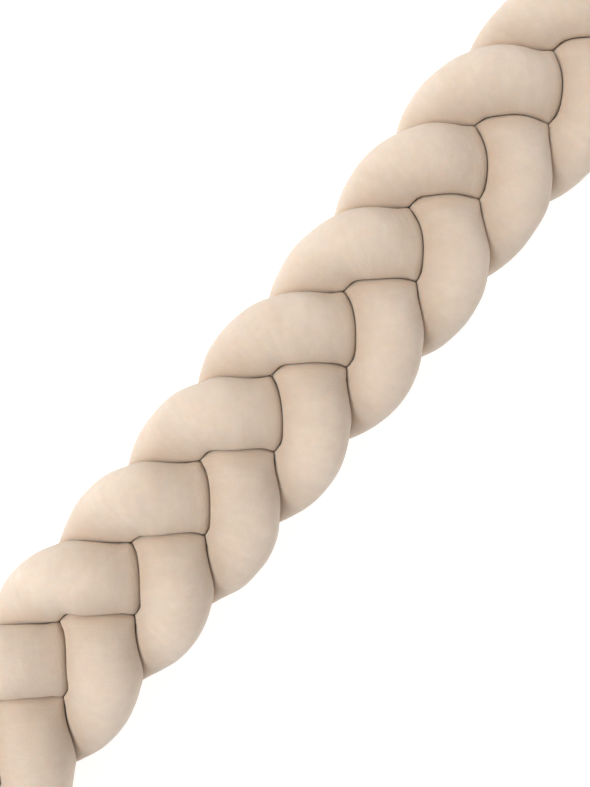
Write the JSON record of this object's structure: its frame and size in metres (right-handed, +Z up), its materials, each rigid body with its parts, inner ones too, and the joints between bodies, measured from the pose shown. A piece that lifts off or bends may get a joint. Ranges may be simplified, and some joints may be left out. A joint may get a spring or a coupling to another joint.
{
  "type": "braided crib bumper",
  "caption": "Long flat plait of stuffed velour tubes, laid round the inside of a crib as a soft edge, with round drawn-in ends.",
  "frame": {"origin": "under the middle of the plait, on the surface that it lies on", "axes": "+X along the plait, +Y across it, +Z up through its thickness"},
  "size_m": [2, 0.1861, 0.086],
  "materials": {
    "velour": "short-piled cotton velour, matt with a faint sheen"
  },
  "bodies": {
    "root": {"tube_a": "velour", "tube_b": "velour", "tube_c": "velour"}
  },
  "joints": []
}
